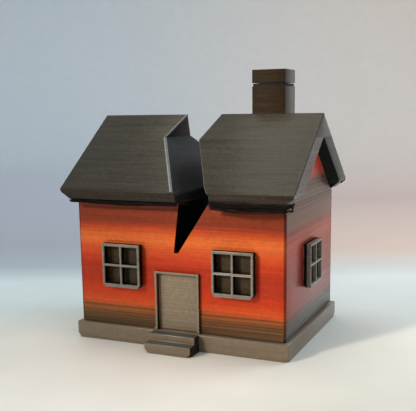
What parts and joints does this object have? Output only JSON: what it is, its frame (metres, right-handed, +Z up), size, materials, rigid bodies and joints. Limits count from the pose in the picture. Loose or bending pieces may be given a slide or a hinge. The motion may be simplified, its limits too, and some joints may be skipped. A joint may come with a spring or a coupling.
{
  "type": "miniature terrain house",
  "caption": "Tabletop terrain cottage split by a jagged crack, with lift-off roof halves, gridded windows, door, front steps and a chimney.",
  "frame": {"origin": "on the table plane, under the middle of the four walls", "axes": "+Z up, -Y out of the front door, +X to the right seen from the front"},
  "size_m": [0.0996, 0.0825, 0.11],
  "materials": {
    "wall_gradient": "silk gradient filament, dark brown through red and orange",
    "base_grey": "satin grey filament",
    "joinery_grey": "satin grey filament",
    "pane_black": "satin near-black filament",
    "roof_black": "satin near-black filament with a warm olive cast"
  },
  "bodies": {
    "house": {"base_plinth": "base_grey", "front_steps": "base_grey", "walls": "wall_gradient", "door_frame": "joinery_grey", "door_panel": "joinery_grey", "window_frame_front_left": "joinery_grey", "window_pane_front_left": "pane_black", "window_frame_front_right": "joinery_grey", "window_pane_front_right": "pane_black", "window_frame_right": "joinery_grey", "window_pane_right": "pane_black", "window_frame_back_right": "joinery_grey", "window_pane_back_right": "pane_black", "window_frame_back_left": "joinery_grey", "window_pane_back_left": "pane_black", "window_frame_left": "joinery_grey", "window_pane_left": "pane_black"},
    "left_roof": {"roof_left": "roof_black"},
    "right_roof": {"roof_right": "roof_black", "chimney_stack": "roof_black", "chimney_cap": "roof_black"}
  },
  "joints": [
    {"name": "roof_left_lift", "type": "slide", "parent": "house", "child": "left_roof", "axis": [-0.2079, 0, 0.9781], "range_m": [0, 0.04]},
    {"name": "roof_right_lift", "type": "slide", "parent": "house", "child": "right_roof", "axis": [0, 0, 1], "range_m": [0, 0.04]}
  ]
}
